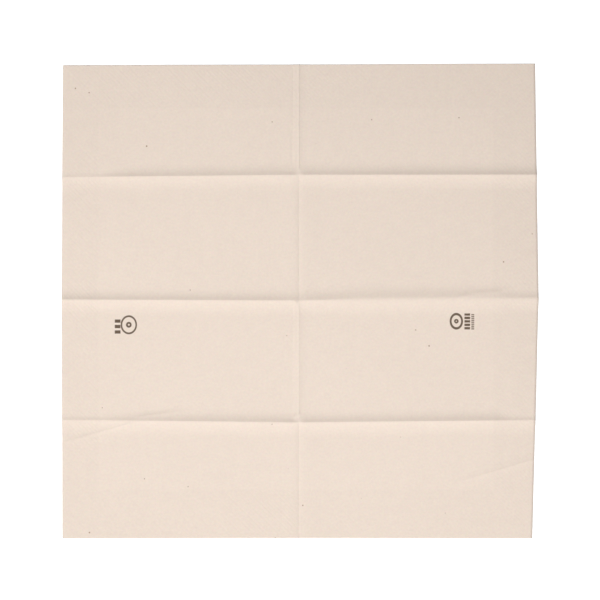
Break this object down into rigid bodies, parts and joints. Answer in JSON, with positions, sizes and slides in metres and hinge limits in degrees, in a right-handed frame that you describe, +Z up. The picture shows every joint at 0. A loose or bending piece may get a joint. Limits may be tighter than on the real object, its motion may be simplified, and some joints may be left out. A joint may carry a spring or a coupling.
{
  "type": "paper napkin",
  "caption": "Square tissue napkin opened out flat, with low fold ridges from side to side, a cross fold and an embossed border band.",
  "frame": {"origin": "on the table, under the middle of the sheet's box", "axes": "+X to the right along the side-to-side folds, +Y from the near edge to the far edge along the cross fold, +Z up, out of the outer face"},
  "size_m": [0.4008, 0.4, 0.0021],
  "materials": {
    "tissue": "soft matte embossed tissue, warm off-white"
  },
  "bodies": {
    "root": {"napkin_sheet": "tissue"}
  },
  "joints": []
}
